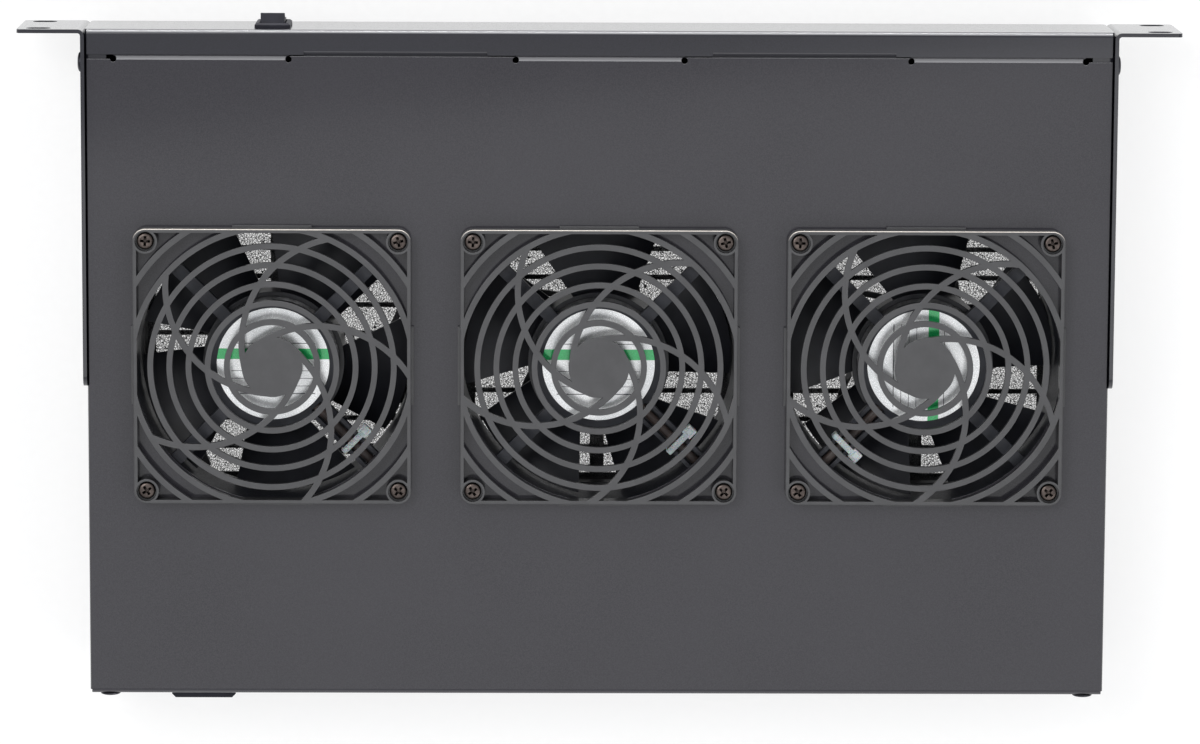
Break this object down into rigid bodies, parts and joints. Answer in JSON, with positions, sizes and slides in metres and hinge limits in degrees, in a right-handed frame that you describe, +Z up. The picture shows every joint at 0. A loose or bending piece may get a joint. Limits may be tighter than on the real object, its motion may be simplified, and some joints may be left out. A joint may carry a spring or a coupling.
{
  "type": "rack fan tray",
  "caption": "One-unit rack cooling tray: a folded black steel tray with rack ears, axial fans under spiral finger guards, clip-on filters below, rocker switch and mains inlet.",
  "frame": {"origin": "centre of the four rack slots, on the rear faces of the two ears, where they meet the rack's rails", "axes": "+X right as seen from the front, +Y towards the rear of the rack, +Z up towards the air outlets"},
  "size_m": [0.4826, 0.2894, 0.0596],
  "materials": {
    "black_coat": "fine textured powder coat, semi-matt",
    "guard_plastic": "moulded, fine matt",
    "dark_screws": "black zinc",
    "guard_screw_steel": "dark bronzed, worn",
    "bright_steel": "ground",
    "fan_casting": "black stove enamel, satin",
    "impeller_plastic": "glass-filled, satin",
    "copper_winding": "varnished copper on laminations",
    "label_foil": "silvered foil label",
    "filter_foam": "open-cell foam",
    "white_nylon": "natural nylon",
    "lead_sleeve": "PVC sleeve",
    "earth_sleeve": "green and yellow PVC",
    "switch_plastic": "moulded, satin",
    "rocker_plastic": "moulded, glossy",
    "block_plastic": "natural polyamide",
    "tinned_brass": "tinned"
  },
  "bodies": {
    "tray": {"chassis_tray": "black_coat", "top_cover": "black_coat", "left_rack_bracket": "black_coat", "right_rack_bracket": "black_coat", "bracket_screws": "dark_screws", "rear_lid_screws": "dark_screws", "fan_bearings": "bright_steel", "left_fan_frame": "fan_casting", "left_stator": "copper_winding", "left_hub_label": "label_foil", "left_finger_guard": "guard_plastic", "left_guard_screws": "guard_screw_steel", "left_filter_base": "guard_plastic", "left_filter_foam": "filter_foam", "left_filter_cover": "guard_plastic", "left_filter_screws": "guard_screw_steel", "left_cable_tie": "white_nylon", "left_fan_lead": "lead_sleeve", "centre_fan_frame": "fan_casting", "centre_stator": "copper_winding", "centre_hub_label": "label_foil", "centre_finger_guard": "guard_plastic", "centre_guard_screws": "guard_screw_steel", "centre_filter_base": "guard_plastic", "centre_filter_foam": "filter_foam", "centre_filter_cover": "guard_plastic", "centre_filter_screws": "guard_screw_steel", "centre_cable_tie": "white_nylon", "centre_fan_lead": "lead_sleeve", "right_fan_frame": "fan_casting", "right_stator": "copper_winding", "right_hub_label": "label_foil", "right_finger_guard": "guard_plastic", "right_guard_screws": "guard_screw_steel", "right_filter_base": "guard_plastic", "right_filter_foam": "filter_foam", "right_filter_cover": "guard_plastic", "right_filter_screws": "guard_screw_steel", "right_cable_tie": "white_nylon", "right_fan_lead": "lead_sleeve", "switch_housing": "switch_plastic", "switch_terminals": "tinned_brass", "inlet_housing": "switch_plastic", "inlet_pins": "tinned_brass", "terminal_block": "block_plastic", "switch_harness": "lead_sleeve", "inlet_harness": "lead_sleeve", "earth_lead": "earth_sleeve", "earth_stud": "bright_steel"},
    "left_rotor": {"left_impeller": "impeller_plastic", "left_rotor_core": "bright_steel", "left_rotor_shaft": "bright_steel"},
    "centre_rotor": {"centre_impeller": "impeller_plastic", "centre_rotor_core": "bright_steel", "centre_rotor_shaft": "bright_steel"},
    "right_rotor": {"right_impeller": "impeller_plastic", "right_rotor_core": "bright_steel", "right_rotor_shaft": "bright_steel"},
    "rocker": {"switch_rocker": "rocker_plastic"}
  },
  "joints": [
    {"name": "left_fan_spin", "type": "hinge", "parent": "tray", "child": "left_rotor", "pos_m": [-0.136, 0.1384, 0], "axis": [0, 0, 1], "continuous": true},
    {"name": "centre_fan_spin", "type": "hinge", "parent": "tray", "child": "centre_rotor", "pos_m": [0, 0.1384, 0], "axis": [0, 0, 1], "continuous": true},
    {"name": "right_fan_spin", "type": "hinge", "parent": "tray", "child": "right_rotor", "pos_m": [0.136, 0.1384, 0], "axis": [0, 0, 1], "continuous": true},
    {"name": "switch_rock", "type": "hinge", "parent": "tray", "child": "rocker", "pos_m": [0.136, -0.0016, 0.0014], "axis": [-1, 0, 0], "range_deg": [0, 22]}
  ]
}
